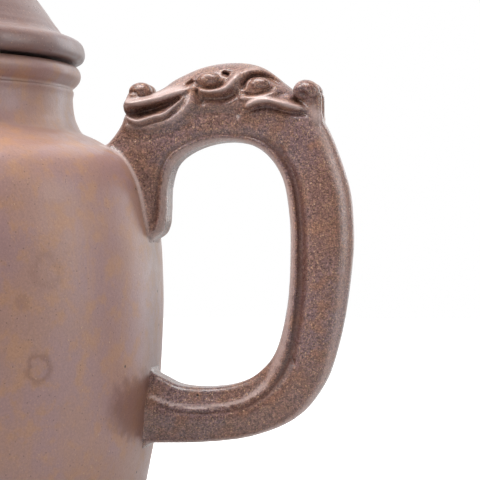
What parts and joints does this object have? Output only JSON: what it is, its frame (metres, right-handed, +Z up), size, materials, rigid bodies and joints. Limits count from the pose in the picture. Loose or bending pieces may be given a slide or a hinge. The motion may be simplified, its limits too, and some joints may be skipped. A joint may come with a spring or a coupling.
{
  "type": "teapot",
  "caption": "Round unglazed clay teapot with a curved spout, a loop handle that ends in a beast's head, and a domed lid that lifts off",
  "frame": {"origin": "on the pot's own axis, at the height of the surface it stands on", "axes": "+Z up along the pot's axis, +X towards the handle, -X towards the spout, +Y to the left side of the beast's head"},
  "size_m": [0.1545, 0.0906, 0.1157],
  "materials": {
    "body_clay": "satin",
    "handle_clay": "satin",
    "lid_clay": "satin"
  },
  "bodies": {
    "pot": {"foot_ring": "body_clay", "base_plate": "body_clay", "body_wall": "body_clay", "shoulder_plate": "body_clay", "neck_collar": "body_clay", "mouth_rim": "body_clay", "spout": "body_clay", "spout_strainer": "body_clay", "handle_loop": "handle_clay", "nostril_right": "handle_clay", "nostril_left": "handle_clay", "cheek_bead_right": "handle_clay", "cheek_bead_left": "handle_clay", "eye_right": "handle_clay", "eye_left": "handle_clay", "brow_right": "handle_clay", "brow_left": "handle_clay", "ear_right": "handle_clay", "ear_left": "handle_clay"},
    "lid": {"lid_dome": "lid_clay", "lid_rim": "lid_clay", "lid_flange": "lid_clay", "knob_base": "lid_clay", "knob": "lid_clay"}
  },
  "joints": [
    {"name": "lid_lift", "type": "slide", "parent": "pot", "child": "lid", "axis": [0, 0, 1], "range_m": [0, 0.05]}
  ]
}
